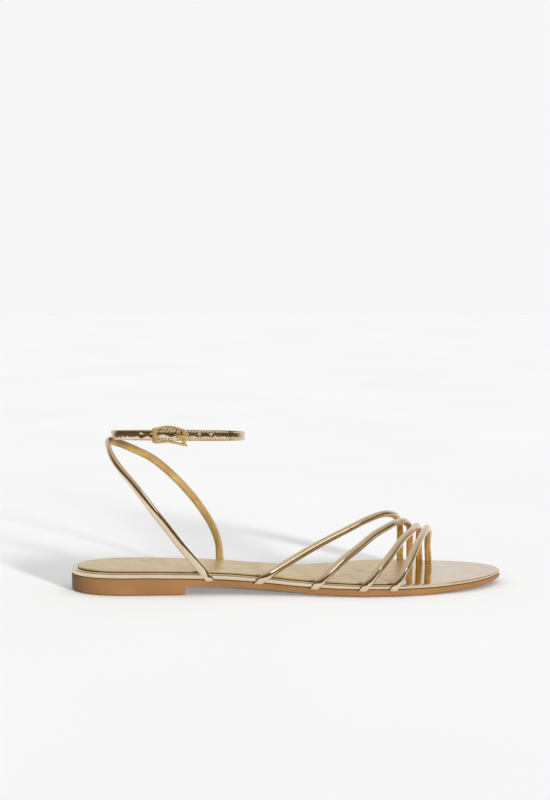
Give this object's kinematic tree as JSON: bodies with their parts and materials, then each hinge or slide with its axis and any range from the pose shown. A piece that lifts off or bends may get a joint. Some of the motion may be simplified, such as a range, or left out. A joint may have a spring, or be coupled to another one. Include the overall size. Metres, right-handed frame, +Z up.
{
  "type": "strappy flat sandal",
  "caption": "Flat open sandal with four slanted rolled straps over the toes, a heel strap that crosses behind an ankle strap, and a small bar buckle at the ankle.",
  "frame": {"origin": "middle of the sandal's footprint, on the floor", "axes": "+X from the heel to the toe, +Y from the outer side of the foot to the inner side, +Z up"},
  "size_m": [0.25, 0.0822, 0.0972],
  "materials": {
    "tan_outsole": "matte tan moulded rubber",
    "board_wrap": "smooth pale gold metallic leather, glossy",
    "sock_leather": "soft champagne metallic leather, satin",
    "mirror_leather": "mirror gold foiled leather, glossy",
    "buckle_brass": "polished pale brass"
  },
  "bodies": {
    "root": {"outsole": "tan_outsole", "footbed_board": "board_wrap", "insole_sock": "sock_leather", "toe_strap_1": "mirror_leather", "toe_strap_2": "mirror_leather", "toe_strap_3": "mirror_leather", "toe_strap_4": "mirror_leather", "heel_and_ankle_strap": "mirror_leather", "billet": "mirror_leather", "buckle_frame": "buckle_brass", "buckle_prong": "buckle_brass"}
  },
  "joints": []
}
